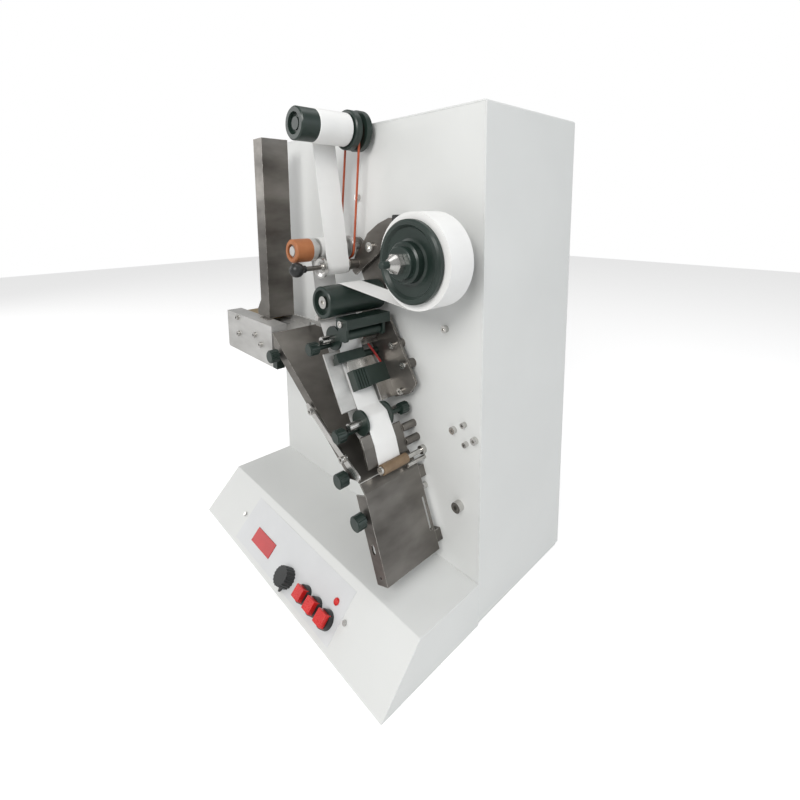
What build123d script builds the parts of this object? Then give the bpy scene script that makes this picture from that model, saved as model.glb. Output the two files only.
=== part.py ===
from build123d import *
from math import asin, atan2, cos, degrees, hypot, pi, radians, sin, sqrt, tan
import os

# Bench-top labelling machine. Millimetres, +Z up. The origin is on the bench, in the plane
# of the mechanism face and midway between the cabinet's sides. The mechanism looks to -Y.

# Casing
width = 435.0
height = 600.0
cabinet_depth = 190.0
sheet = 2.0
face_sheet = 3.0
seam = 0.2
bench_gap = 5.0
bend_radius = 3.0
shelf_depth = 98.0
shelf_height = 54.0
slope_angle = 45.0
tray_rim = 20.0
rear_sheet = 1.5
vent_length = 60.0
vent_width = 4.0
vent_pitch = 10.0
vent_count = 8

# Control panel, measured along the slope from its top left corner
panel_left = 97.0
panel_top = 10.0
panel_width = 241.0
panel_height = 60.0
film = 0.4
window_width = 50.3
window_height = 19.0
window_left = 132.0
window_top = 38.5
window_proud = 0.8
knob_x = 233.0
knob_s = 54.5
knob_diameter = 25.0
knob_height = 15.0
button_xs = (272.0, 295.7, 319.4)
button_s = 52.3
button_body_diameter = 21.0
button_body_height = 8.0
button_cap = 14.5
button_cap_height = 7.0
button_travel = 2.5
switch_depth = 8.0
lamp_x = 319.6
lamp_s = 31.8
lamp_diameter = 8.0
panel_screw_xs = (87.5, 343.6)
panel_screw_s = 40.8

# Label web and the lane that the products follow. Depths run out from the mechanism face.
web_width = 34.0
web_back = 36.0
web_front = web_back + web_width
web_thickness = 0.3
rub = 0.3
lane_back = 11.0
lane_front = 96.0

# Fits
running = 0.05
rest = 0.3

# Steps right and up from one place in the face to the next. The chain starts at the foot of
# the discharge chute, and its places are (x, z).
foot_x = 166.0
foot_gap = 22.0
foot_to_edge = (-37.0, 93.5)
edge_to_bend = (-10.0, 9.5)
bend_to_top = (-195.0, 138.0)
bend_to_peel = (1.3, 12.5)
peel_to_press = (8.2, -3.5)
peel_to_crease = (-8.1, 19.7)
peel_to_return = (-43.3, 28.5)
peel_to_lower = (-27.3, 43.0)
lower_to_press_down = (-6.0, 17.0)
press_down_to_hold = (-30.5, 53.0)
hold_to_upper = (-15.5, 24.5)
upper_to_long = (12.0, 51.0)
long_to_small = (21.0, -40.0)
long_to_return = (-44.0, -30.0)
long_to_drive = (-49.0, 59.0)
long_to_unwind = (128.0, 57.0)
drive_to_pivot = (44.9, 2.3)
mandrel_x = 22.0
mandrel_drop = 10.0


def step(start, move):
    """The place that lies one (right, up) step from another."""
    return (start[0] + move[0], start[1] + move[1])


discharge_bottom = (foot_x, shelf_height + foot_gap)
discharge_top = step(discharge_bottom, foot_to_edge)
chute_bend = step(discharge_top, edge_to_bend)
chute_top = step(chute_bend, bend_to_top)
peel_at = step(chute_bend, bend_to_peel)
press_at = step(peel_at, peel_to_press)
crease_at = step(peel_at, peel_to_crease)
return_low_at = step(peel_at, peel_to_return)
lower_at = step(peel_at, peel_to_lower)
press_down_at = step(lower_at, lower_to_press_down)
hold_at = step(press_down_at, press_down_to_hold)
upper_at = step(hold_at, hold_to_upper)
long_at = step(upper_at, upper_to_long)
small_at = step(long_at, long_to_small)
return_high_at = step(long_at, long_to_return)
drive_at = step(long_at, long_to_drive)
unwind_at = step(long_at, long_to_unwind)
pivot_at = step(drive_at, drive_to_pivot)
mandrel_at = (mandrel_x, height - mandrel_drop)

# Rollers, bars and spools
roll_radius = 50.5
roll_core_radius = 19.0
disc_radius = 43.4
disc_thickness = 8.0
long_radius = 19.4
guide_radius = 8.5
stub_radius = 5.0
hold_radius = 4.5
press_down_radius = 4.0
crease_radius = 3.0
peel_radius = 1.5
return_low_radius = 3.0
return_high_radius = 4.0
drive_radius = 14.5
nip_radius = 10.5
nip_angle = -58.0
nip_play = 0.1
mandrel_radius = 19.6
wound_radius = 20.8
groove_radius = 12.5
pulley_radius = 13.5
belt_radius = 1.5
belt_depth = 20.5
small_radius = 6.3
press_radius = 6.2
spindle_radius = 5.0
spindle_inside = 30.0
drive_inside = 58.0
bearing_radius = 9.5
bearing_flange = 13.0
mandrel_bearing = 6.6

# Drive and nip positions that follow from the radii
nip_distance = drive_radius + nip_radius + 2 * rub + web_thickness + nip_play
nip_at = (
    drive_at[0] + nip_distance * cos(radians(nip_angle)),
    drive_at[1] + nip_distance * sin(radians(nip_angle)),
)

# Peel plate and label head
plate_slope = 59.0
plate_thickness = 3.0
plate_front = 91.0
mount_back = 12.0
mount_thickness = 3.0
mount_front = mount_back + mount_thickness
collar_radius = 15.5
collar_thickness = 3.0
collar_stub = 21.0
collar_travel = 8.0

# Feeder and magazine. The floor of the feeder's groove runs out over the top of the chute.
feeder_length = 152.0
feeder_height = 60.0
feeder_back = 31.0
lip_gap = 2.0
groove_rise = -1.0
groove_deep = 10.0
groove_back = 34.0
groove_front = 72.0
magazine_step = 60.0
magazine_width = 26.0
magazine_depth = 42.0
magazine_drop = 6.0
magazine_wall = 1.5
magazine_back = 32.0
flare = 12.0
flare_low = 10.0
flare_high = 26.0
pusher_travel = 34.0

# Chutes
chute_sheet = 2.0
chute_flange = 12.0
discharge_flange = 17.0

# Screws and bolts
m5_head = 4.25
m5_head_height = 5.0
m5_shank = 2.5
m5_hex = 2.0
m8_head = 6.5
m8_head_height = 8.0
m8_hex = 3.0
panel_screw_head = 3.2
panel_screw_hole = 1.6
knob_flutes = 8
flute_radius = 1.6

face = Plane(origin=(0, 0, 0), x_dir=(1, 0, 0), z_dir=(0, -1, 0))
slope_run = shelf_height / tan(radians(slope_angle))
front_y = -(shelf_depth + slope_run)
slope = Plane(
    origin=(-width / 2, -shelf_depth, shelf_height),
    x_dir=(1, 0, 0),
    z_dir=(0, -sin(radians(slope_angle)), cos(radians(slope_angle))),
)

os.makedirs("parts", exist_ok=True)


def save(piece, label):
    """Label a finished piece and write it as its own STEP file."""
    piece.part.label = label
    export_step(piece.part, f"parts/{label}.step")


def tangent(first, second):
    """Tangent points between two circles (x, z, radius, sense), sense +1 anticlockwise."""
    dx = second[0] - first[0]
    dz = second[1] - first[1]
    shift = second[3] * second[2] - first[3] * first[2]
    turn = atan2(dz, dx) - asin(shift / hypot(dx, dz))
    normal = (-sin(turn), cos(turn))
    leave = (
        first[0] - first[3] * first[2] * normal[0],
        first[1] - first[3] * first[2] * normal[1],
    )
    meet = (
        second[0] - second[3] * second[2] * normal[0],
        second[1] - second[3] * second[2] * normal[1],
    )
    return leave, meet


def arc_middle(circle, start, end):
    """The point halfway round a circle from start to end, in the circle's own sense."""
    first = atan2(start[1] - circle[1], start[0] - circle[0])
    last = atan2(end[1] - circle[1], end[0] - circle[0])
    sweep_angle = (last - first) * circle[3] % (2 * pi)
    middle = first + circle[3] * sweep_angle / 2
    return (circle[0] + circle[2] * cos(middle), circle[1] + circle[2] * sin(middle))


def web_path(circles, shift, start=0.0, end=1.0):
    """Points of a web round its rollers, moved by shift to the left of its travel.

    start and end trim the first and the last straight run, as fractions of their length.
    """
    moved = [(x, z, radius - sense * shift, sense) for x, z, radius, sense in circles]
    spans = [tangent(first, second) for first, second in zip(moved, moved[1:])]
    path = [between(*spans[0], start)]
    for index, span in enumerate(spans):
        if index + 1 == len(spans):
            path.append(between(*span, end))
        else:
            onward = spans[index + 1][0]
            path.append(span[1])
            path.append(arc_middle(moved[index + 1], span[1], onward))
            path.append(onward)
    return path


def between(first, second, share):
    """The point that lies a share of the way from first to second."""
    return tuple(a + (b - a) * share for a, b in zip(first, second))


def draw_web_line(path):
    """Draw straight runs and arcs through a path from web_path."""
    for index in range(0, len(path) - 1, 3):
        Line(path[index], path[index + 1])
        if index + 3 < len(path):
            ThreePointArc(path[index + 1], path[index + 2], path[index + 3])


def web_section(circles, start=0.0, end=1.0):
    """The section of the web at its back edge: two faces and two cut ends."""
    inner = web_path(circles, -web_thickness / 2, start, end)
    outer = web_path(circles, web_thickness / 2, start, end)
    with BuildSketch(face.offset(web_back)) as section:
        with BuildLine():
            draw_web_line(inner)
            draw_web_line(outer)
            Line(inner[0], outer[0])
            Line(inner[-1], outer[-1])
        make_face()
    return section.sketch


def turned(at, profile, mode=Mode.ADD):
    """Revolve a closed (radius, depth) profile round a spindle through the face at (x, z)."""
    with BuildSketch(Plane(origin=(at[0], 0, at[1]), x_dir=(1, 0, 0), z_dir=(0, 0, 1))) as section:
        Polygon(*[(radius, -depth) for radius, depth in profile], align=None)
    revolve(section.sketch, axis=Axis((at[0], 0, at[1]), (0, 1, 0)), mode=mode)


def rods(places, radius, back, front, mode=Mode.ADD):
    """Round bars square to the face, at (x, z) places, from depth back to depth front."""
    with BuildSketch(face.offset(back)) as section:
        with Locations(*places):
            Circle(radius)
    extrude(section.sketch, amount=front - back, mode=mode)


def plate(outline, back, front, mode=Mode.ADD):
    """A flat piece parallel to the face with an (x, z) outline."""
    with BuildSketch(face.offset(back)) as section:
        Polygon(*outline, align=None)
    extrude(section.sketch, amount=front - back, mode=mode)


def block(left, right, low, high, back, front, mode=Mode.ADD):
    """A box between two x, two z and two depths."""
    plate(((left, low), (right, low), (right, high), (left, high)), back, front, mode)


def strip(points, thickness, back, front, mode=Mode.ADD):
    """A bent sheet seen on edge: round-ended slots along a line of (x, z) points."""
    with BuildSketch(face.offset(back)) as section:
        for first, second in zip(points, points[1:]):
            run = (second[0] - first[0], second[1] - first[1])
            with Locations(between(first, second, 0.5)):
                SlotCenterToCenter(hypot(*run), thickness, rotation=degrees(atan2(run[1], run[0])))
    extrude(section.sketch, amount=front - back, mode=mode)


def along(origin, angle, run, rise):
    """The (x, z) point run along a slope and rise square to it, angle in degrees."""
    turn = radians(angle)
    return (
        origin[0] + run * cos(turn) - rise * sin(turn),
        origin[1] + run * sin(turn) + rise * cos(turn),
    )


def bolts(places, seat, radius, head, hexagon, shank_radius, shank):
    """Socket cap screws square to the face: head in front of the seat depth, shank behind."""
    rods(places, radius, seat, seat + head)
    if shank > 0:
        rods(places, shank_radius, seat - shank, seat)
    with BuildSketch(face.offset(seat + head)) as section:
        with Locations(*places):
            RegularPolygon(hexagon, 6)
    extrude(section.sketch, amount=-0.6 * head, mode=Mode.SUBTRACT)


# Base console: a folded sheet with a 45 degree control face, a flat shelf and two cheeks
with BuildPart() as base_console:
    with BuildSketch(Plane.YZ):
        Polygon((front_y, 0), (-shelf_depth, shelf_height), (-seam, shelf_height), (-seam, 0), align=None)
    extrude(amount=width / 2, both=True)
    ridges = base_console.edges().filter_by(Axis.X).group_by(Axis.Z)[-1].sort_by(Axis.Y)
    fillet(ridges[0], bend_radius)
    with BuildSketch(Plane.YZ):
        Polygon(
            (front_y + sheet / sin(radians(slope_angle)), 0),
            (-shelf_depth + sheet * tan(radians(slope_angle / 2)), shelf_height - sheet),
            (-seam, shelf_height - sheet),
            (-seam, 0),
            align=None,
        )
    extrude(amount=width / 2 - sheet, both=True, mode=Mode.SUBTRACT)
    with BuildSketch(slope):
        with Locations((window_left + window_width / 2, -(window_top + window_height / 2))):
            Rectangle(window_width + 2 * seam, window_height + 2 * seam)
        with Locations((knob_x, -knob_s)):
            Circle(5.2)
        with Locations(*[(x, -button_s) for x in button_xs]):
            Circle(8.2)
        with Locations((lamp_x, -lamp_s)):
            Circle(lamp_diameter / 2 + running)
        with Locations(*[(x, -panel_screw_s) for x in panel_screw_xs]):
            Circle(panel_screw_hole)
    extrude(amount=-2 * sheet, mode=Mode.SUBTRACT)
save(base_console, "base_console")

# Base tray: the floor of the machine, with a rim that the console and the cover sit round
tray_half = width / 2 - sheet - seam
tray_front = front_y + 10.0
with BuildPart() as base_plate:
    with BuildSketch(Plane.XY):
        with Locations((0, (tray_front + cabinet_depth - sheet - seam) / 2)):
            Rectangle(2 * tray_half, cabinet_depth - sheet - seam - tray_front)
    extrude(amount=sheet)
    with BuildSketch(Plane.XY.offset(sheet)):
        rim_y = face_sheet + seam
        rim_length = cabinet_depth - sheet - seam - rim_y
        with Locations((0, rim_y + rim_length / 2)):
            Rectangle(2 * tray_half, rim_length)
            Rectangle(2 * (tray_half - sheet), rim_length - 2 * sheet, mode=Mode.SUBTRACT)
    extrude(amount=tray_rim - sheet)
save(base_plate, "base_plate")

# Cabinet cover: one sheet folded into two sides and a top
with BuildPart() as cabinet_cover:
    with BuildSketch(Plane.XZ):
        with Locations((0, (height + bench_gap) / 2)):
            Rectangle(width, height - bench_gap)
    extrude(amount=-cabinet_depth)
    fillet(cabinet_cover.edges().filter_by(Axis.Y).group_by(Axis.Z)[-1], bend_radius)
    with BuildSketch(Plane.XZ):
        with Locations((0, (height - sheet + bench_gap) / 2)):
            Rectangle(width - 2 * sheet, height - sheet - bench_gap)
    extrude(amount=-cabinet_depth, mode=Mode.SUBTRACT)
save(cabinet_cover, "cabinet_cover")

# Mechanism panel: the steel front that carries every shaft
panel_z0 = sheet + seam
panel_z1 = height - sheet - seam
with BuildPart() as mechanism_panel:
    with BuildSketch(face):
        with Locations((0, (panel_z0 + panel_z1) / 2)):
            Rectangle(2 * tray_half, panel_z1 - panel_z0)
        with Locations(unwind_at, drive_at):
            Circle(bearing_radius, mode=Mode.SUBTRACT)
        with Locations(mandrel_at):
            Circle(mandrel_bearing, mode=Mode.SUBTRACT)
    extrude(amount=-face_sheet)
save(mechanism_panel, "mechanism_panel")

# Rear panel with louvre slots, let in between the sides of the cover
rear_z0 = tray_rim + seam
with BuildPart() as rear_panel:
    with BuildSketch(Plane.XZ.offset(-(cabinet_depth - rear_sheet))):
        with Locations((0, (rear_z0 + panel_z1) / 2)):
            Rectangle(2 * tray_half, panel_z1 - rear_z0)
        with Locations((0, height - 90)):
            with GridLocations(2 * vent_length, vent_pitch, 2, vent_count):
                SlotOverall(vent_length, vent_width, mode=Mode.SUBTRACT)
        with Locations((-width / 2 + 75, 80)):
            Rectangle(27.4, 47.4, mode=Mode.SUBTRACT)
    extrude(amount=-rear_sheet)
save(rear_panel, "rear_panel")

# Power inlet in the rear panel, a snap-in socket with three blades
with BuildPart() as power_inlet:
    inlet_plane = Plane.XZ.offset(-cabinet_depth)
    with BuildSketch(inlet_plane):
        with Locations((-width / 2 + 75, 80)):
            RectangleRounded(34, 54, 3)
    extrude(amount=-2.5)
    with BuildSketch(inlet_plane):
        with Locations((-width / 2 + 75, 80)):
            Rectangle(27, 47)
    extrude(amount=24)
    with BuildSketch(inlet_plane.offset(-2.5)):
        with Locations((-width / 2 + 75, 86)):
            RectangleRounded(22, 16, 2)
    extrude(amount=16, mode=Mode.SUBTRACT)
    with BuildSketch(inlet_plane.offset(13.5)):
        with Locations((-width / 2 + 75, 88), (-width / 2 + 68, 84), (-width / 2 + 82, 84)):
            Rectangle(2, 4)
    extrude(amount=-10)
save(power_inlet, "power_inlet")

# Printed film of the control panel, with openings for what comes through it
film_x = panel_left + panel_width / 2
film_s = panel_top + panel_height / 2
with BuildPart() as control_panel:
    with BuildSketch(slope):
        with Locations((film_x, -film_s)):
            Rectangle(panel_width, panel_height)
        with Locations((window_left + window_width / 2, -(window_top + window_height / 2))):
            Rectangle(window_width + 2 * seam, window_height + 2 * seam, mode=Mode.SUBTRACT)
        with Locations((knob_x, -knob_s)):
            Circle(5.2, mode=Mode.SUBTRACT)
        with Locations(*[(x, -button_s) for x in button_xs]):
            Circle(8.2, mode=Mode.SUBTRACT)
        with Locations((lamp_x, -lamp_s)):
            Circle(lamp_diameter / 2 + running, mode=Mode.SUBTRACT)
    extrude(amount=film)
save(control_panel, "control_panel")

# Red window of the counter, seated in the slope with a thin lip over the film
with BuildPart() as display_window:
    with BuildSketch(slope.offset(-sheet)):
        with Locations((window_left + window_width / 2, -(window_top + window_height / 2))):
            Rectangle(window_width, window_height)
    extrude(amount=sheet + film + window_proud)
save(display_window, "display_window")

# Counter module behind the window: four digit blocks on a board
with BuildPart() as display_module:
    with BuildSketch(slope.offset(-sheet - rest)):
        with Locations((window_left + window_width / 2, -(window_top + window_height / 2))):
            with GridLocations(window_width / 4, 1, 4, 1):
                Rectangle(window_width / 4 - 0.2, window_height)
    extrude(amount=-7)
    with BuildSketch(slope.offset(-sheet - rest - 7)):
        with Locations((window_left + window_width / 2, -(window_top + window_height / 2))):
            Rectangle(window_width + 10, window_height + 8)
    extrude(amount=-1.6)
save(display_module, "display_module")

# Selector: a rotary switch under the slope, and the knob with its pointer
with BuildPart() as selector_switch:
    with BuildSketch(slope.offset(-sheet)):
        with Locations((knob_x, -knob_s)):
            Circle(9)
    extrude(amount=-6)
    with BuildSketch(slope.offset(-sheet)):
        with Locations((knob_x, -knob_s)):
            Circle(5)
    extrude(amount=sheet + film)
    with BuildSketch(slope.offset(film)):
        with Locations((knob_x, -knob_s)):
            Circle(3)
    extrude(amount=knob_height - 5)
save(selector_switch, "selector_switch")

with BuildPart() as selector_knob:
    with BuildSketch(slope.offset(film + rest)):
        with Locations((knob_x, -knob_s)):
            Circle(knob_diameter / 2)
            with PolarLocations(knob_diameter / 2 + 0.4, 18):
                Circle(1.3, mode=Mode.SUBTRACT)
    extrude(amount=knob_height, taper=3)
    chamfer(selector_knob.faces().sort_by(Axis((0, 0, 0), slope.z_dir))[-1].edges().sort_by(SortBy.LENGTH)[-1:], 0.3)
    with BuildSketch(slope.offset(film + rest)):
        with Locations((knob_x, -knob_s)):
            with Locations((0, -knob_diameter / 2)):
                Polygon((-3.2, 3.5), (3.2, 3.5), (0, -4.5), align=None)
    extrude(amount=4)
    with BuildSketch(slope.offset(film)):
        with Locations((knob_x, -knob_s)):
            Circle(3 + running)
    extrude(amount=knob_height - 5 + rest, mode=Mode.SUBTRACT)
save(selector_knob, "selector_knob")

# Push buttons: black round bodies that snap into the slope, and sprung red caps
with BuildPart() as button_bodies:
    with BuildSketch(slope.offset(film)):
        with Locations(*[(x, -button_s) for x in button_xs]):
            Circle(button_body_diameter / 2)
    extrude(amount=button_body_height, taper=4)
    with BuildSketch(slope.offset(film)):
        with Locations(*[(x, -button_s) for x in button_xs]):
            Circle(8)
    extrude(amount=-sheet - film - switch_depth)
    with BuildSketch(slope.offset(film + button_body_height)):
        with Locations(*[(x, -button_s) for x in button_xs]):
            RectangleRounded(button_cap + 2 * rest, button_cap + 2 * rest, 1)
    extrude(amount=-6, mode=Mode.SUBTRACT)
save(button_bodies, "button_bodies")

for label, x in zip(("button_left", "button_middle", "button_right"), button_xs):
    with BuildPart() as button:
        with BuildSketch(slope.offset(film + button_body_height - 6 + button_travel + rest)):
            with Locations((x, -button_s)):
                RectangleRounded(button_cap, button_cap, 0.9)
        extrude(amount=6 - button_travel - rest + button_cap_height)
        fillet(button.edges().filter_by(GeomType.LINE).group_by(Axis((0, 0, 0), slope.z_dir))[-1], 0.7)
    save(button, label)

# Indicator lamp lens with its body under the slope
with BuildPart() as indicator_lens:
    with BuildSketch(slope.offset(film)):
        with Locations((lamp_x, -lamp_s)):
            Circle(lamp_diameter / 2)
    extrude(amount=-sheet - film - 6)
    with BuildSketch(slope.offset(film)):
        with Locations((lamp_x, -lamp_s)):
            Circle(lamp_diameter / 2)
    extrude(amount=2.4)
    fillet(indicator_lens.faces().sort_by(Axis((0, 0, 0), slope.z_dir))[-1].edges(), 2)
save(indicator_lens, "indicator_lens")

# Bearings of the three spindles: two flanged, and a plain one under the top of the cabinet
bearing_length = 16.0
with BuildPart() as shaft_bearings:
    rods((unwind_at, drive_at), bearing_radius - running, -bearing_length, 0)
    rods((unwind_at, drive_at), bearing_flange, 0, 3)
    rods([mandrel_at], mandrel_bearing - running, -bearing_length, 3)
    rods((unwind_at, mandrel_at, drive_at), spindle_radius + running, -bearing_length, 3, Mode.SUBTRACT)
save(shaft_bearings, "shaft_bearings")

# Unwind spool: spindle, back flange and core in one turned piece
disc_back = web_front + rest
disc_front = disc_back + disc_thickness
hub_front = disc_front + 12.0
with BuildPart() as spool_hub:
    turned(
        unwind_at,
        (
            (0, -spindle_inside),
            (spindle_radius, -spindle_inside),
            (spindle_radius, web_back - 5),
            (disc_radius, web_back - 5),
            (disc_radius, web_back - rest),
            (roll_core_radius - rest, web_back - rest),
            (roll_core_radius - rest, web_front),
            (spindle_radius, web_front),
            (spindle_radius, hub_front),
            (3.8, hub_front),
            (3.8, hub_front + 22),
            (3.0, hub_front + 23),
            (0, hub_front + 23),
        ),
    )
save(spool_hub, "spool_hub")

# Front disc of the spool, dished, with a stepped boss
with BuildPart() as spool_disc:
    turned(
        unwind_at,
        (
            (spindle_radius + running, disc_back),
            (disc_radius - 1.5, disc_back),
            (disc_radius, disc_back + 1.5),
            (disc_radius, disc_front - 2),
            (disc_radius - 2, disc_front),
            (disc_radius - 5.5, disc_front),
            (disc_radius - 8.5, disc_front - 3.5),
            (24.0, disc_front - 4.2),
            (21.5, disc_front - 3.0),
            (21.5, disc_front + 5.0),
            (19.5, disc_front + 6.5),
            (17.0, disc_front + 6.5),
            (17.0, hub_front - 1),
            (16.0, hub_front),
            (spindle_radius + running, hub_front),
        ),
    )
save(spool_disc, "spool_disc")

with BuildPart() as spool_nut:
    with BuildSketch(face.offset(hub_front + rest)):
        with Locations(unwind_at):
            RegularPolygon(11.0, 6)
    extrude(amount=6)
    with BuildSketch(face.offset(hub_front + rest + 6)):
        with Locations(unwind_at):
            Circle(9.5)
    extrude(amount=8, taper=32)
    with BuildSketch(face.offset(hub_front)):
        with Locations(unwind_at):
            Circle(3.8 + running)
    extrude(amount=20, mode=Mode.SUBTRACT)
save(spool_nut, "spool_nut")

# Roll of labels on its liner
with BuildPart() as label_roll:
    with BuildSketch(face.offset(web_back)):
        with Locations(unwind_at):
            Circle(roll_radius)
            Circle(roll_core_radius, mode=Mode.SUBTRACT)
    extrude(amount=web_width)
save(label_roll, "label_roll")

# Rewind mandrel with the belt groove behind it
groove_edge = belt_radius + 1.1
with BuildPart() as rewind_mandrel:
    turned(
        mandrel_at,
        (
            (0, -spindle_inside),
            (spindle_radius, -spindle_inside),
            (spindle_radius, 8),
            (25.0, 8),
            (26.0, 9),
            (26.0, belt_depth - groove_edge - 0.8),
            (groove_radius + 2.5, belt_depth - groove_edge),
            (groove_radius, belt_depth - 0.6),
            (groove_radius, belt_depth + 0.6),
            (groove_radius + 2.5, belt_depth + groove_edge),
            (25.0, belt_depth + groove_edge + 0.8),
            (25.0, 31.5),
            (23.5, 33),
            (mandrel_radius, 33),
            (mandrel_radius, 105.5),
            (mandrel_radius - 1.5, 107),
            (13.0, 107),
            (12.0, 102.5),
            (7.5, 102.5),
            (7.5, 105),
            (0, 105),
        ),
    )
save(rewind_mandrel, "rewind_mandrel")

# Liner wound on the mandrel, its first turns a little staggered
with BuildPart() as rewind_paper:
    turned(
        mandrel_at,
        (
            (mandrel_radius + running, web_back - 1),
            (wound_radius, web_back - 1),
            (wound_radius, web_front + 2),
            (wound_radius - 0.5, web_front + 11),
            (mandrel_radius + running, web_front + 12),
        ),
    )
save(rewind_paper, "rewind_paper")

# Endless round belt from the drive pulley to the mandrel
belt_circles = [
    (*mandrel_at, groove_radius + belt_radius + rest, 1),
    (*drive_at, pulley_radius + belt_radius + rest, 1),
]
with BuildPart() as drive_belt:
    with BuildLine(face.offset(belt_depth)) as belt_line:
        left_span = tangent(belt_circles[0], belt_circles[1])
        right_span = tangent(belt_circles[1], belt_circles[0])
        Line(left_span[0], left_span[1])
        ThreePointArc(left_span[1], arc_middle(belt_circles[1], left_span[1], right_span[0]), right_span[0])
        Line(right_span[0], right_span[1])
        ThreePointArc(right_span[1], arc_middle(belt_circles[0], right_span[1], left_span[0]), left_span[0])
    with BuildSketch(belt_line.line ^ 0):
        Circle(belt_radius)
    sweep()
save(drive_belt, "drive_belt")

# Drive roller: spindle, steel body relieved for the nip flange, and a core for the sleeve
sleeve_back = web_front + 12
sleeve_front = 106.0
relief_back = web_front + 0.8
relief_front = relief_back + 4.4
relief_radius = drive_radius - 3.8
with BuildPart() as drive_roller:
    turned(
        drive_at,
        (
            (0, -drive_inside),
            (spindle_radius, -drive_inside),
            (spindle_radius, 30),
            (drive_radius, 30),
            (drive_radius, relief_back),
            (relief_radius, relief_back),
            (relief_radius, relief_front),
            (drive_radius, relief_front),
            (drive_radius, sleeve_back),
            (9.0, sleeve_back),
            (9.0, sleeve_front - 4),
            (6.0, sleeve_front - 4),
            (6.0, sleeve_front - 1),
            (0, sleeve_front - 1),
        ),
    )
    turned(
        drive_at,
        (
            (spindle_radius, 17),
            (15.5, 17),
            (15.5, belt_depth - groove_edge - 0.5),
            (pulley_radius, belt_depth - 0.6),
            (pulley_radius, belt_depth + 0.6),
            (15.5, belt_depth + groove_edge + 0.5),
            (15.5, 24),
            (9.0, 24),
            (9.0, 29),
            (spindle_radius, 29),
        ),
    )
save(drive_roller, "drive_roller")

with BuildPart() as drive_sleeve:
    turned(
        drive_at,
        (
            (9.0 + running, sleeve_back),
            (drive_radius + 0.3, sleeve_back),
            (drive_radius + 0.3, sleeve_front - 1.5),
            (drive_radius - 1.2, sleeve_front),
            (9.0 + running, sleeve_front),
        ),
    )
save(drive_sleeve, "drive_sleeve")

# Geared motor behind the panel, on four posts, with the drive spindle in its bore
motor_front = 40.0
with BuildPart() as drive_motor:
    with BuildSketch(face.offset(-motor_front)):
        with Locations(drive_at):
            Rectangle(62, 62)
    extrude(amount=-24)
    with BuildSketch(face.offset(-motor_front - 24)):
        with Locations(drive_at):
            Circle(26)
    extrude(amount=-64)
    with BuildSketch(face.offset(-face_sheet)):
        with Locations(drive_at):
            with GridLocations(50, 50, 2, 2):
                Circle(4)
    extrude(amount=face_sheet - motor_front)
    rods([drive_at], spindle_radius + running, -drive_inside - 1, -motor_front + 1, Mode.SUBTRACT)
save(drive_motor, "drive_motor")

# Friction brake of the spool: a knurled collar on the inner end of its spindle
with BuildPart() as spool_brake:
    with BuildSketch(face.offset(-16 - rest)):
        with Locations(unwind_at):
            Circle(14)
            Circle(spindle_radius + running, mode=Mode.SUBTRACT)
    extrude(amount=-3)
    with BuildSketch(face.offset(-19 - rest)):
        with Locations(unwind_at):
            Circle(11)
            with PolarLocations(11.3, 16):
                Circle(0.9, mode=Mode.SUBTRACT)
            Circle(spindle_radius + running, mode=Mode.SUBTRACT)
    extrude(amount=-8)
save(spool_brake, "spool_brake")

# Swing arm of the nip roller: a cut plate with the roller's pin, on a shouldered stud
arm_back = 12.5
arm_front = arm_back + 3.0
arm_reach = 44.1
arm_rise = 37.9
pin_radius = 3.0
nip_front = web_front + 1.0
flange_front = nip_front + 3.3
ball_radius = 9.2
ball_depth = 107.5
with BuildPart() as swing_arm:
    plate(
        (
            step(nip_at, (-3.2, -16.0)),
            step(nip_at, (-9.8, -11.0)),
            step(nip_at, (-9.3, -1.0)),
            step(nip_at, (-2.1, 12.6)),
            step(pivot_at, (-18.6, 2.1)),
            step(pivot_at, (-7.5, 17.2)),
            step(pivot_at, (14.0, 30.4)),
            step(pivot_at, (arm_reach - 9.5, arm_rise)),
            step(pivot_at, (arm_reach, arm_rise)),
            step(pivot_at, (arm_reach, arm_rise - 8.2)),
            step(pivot_at, (14.0, -8.4)),
        ),
        arm_back,
        arm_front,
    )
    fillet(swing_arm.edges().filter_by(Axis.Y), 2)
    rods([pivot_at], 4.0 + running, arm_back, arm_front, Mode.SUBTRACT)
    rods([nip_at], 7.0, arm_front, 32.0)
    rods([nip_at], pin_radius, 32.0, ball_depth - 4)
save(swing_arm, "swing_arm")

with BuildPart() as arm_pivot:
    rods([pivot_at], 7.5, 0, arm_back - rest)
    rods([pivot_at], 4.0, arm_back - rest, arm_front + rest)
    rods([pivot_at], m8_head, arm_front + rest, arm_front + rest + 4)
    with BuildSketch(face.offset(arm_front + rest + 4)):
        with Locations(pivot_at):
            RegularPolygon(m8_hex, 6)
    extrude(amount=-3, mode=Mode.SUBTRACT)
save(arm_pivot, "arm_pivot")

# Nip roller with its dished front flange
with BuildPart() as nip_roller:
    turned(
        nip_at,
        (
            (pin_radius + running, 33),
            (nip_radius, 33),
            (nip_radius, nip_front),
            (14.0, nip_front + rest),
            (14.0, flange_front),
            (11.5, flange_front),
            (8.0, flange_front - 1.6),
            (5.5, flange_front - 1.6),
            (5.5, flange_front + 0.7),
            (pin_radius + running, flange_front + 0.7),
        ),
    )
save(nip_roller, "nip_roller")

with BuildPart() as nip_handle:
    with Locations((nip_at[0], -ball_depth, nip_at[1])):
        Sphere(ball_radius)
    rods([nip_at], 4.6, ball_depth - ball_radius - 2.5, ball_depth - ball_radius + 2)
    rods([nip_at], pin_radius, ball_depth - ball_radius - 3, ball_depth - 4, Mode.SUBTRACT)
save(nip_handle, "nip_handle")

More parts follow.
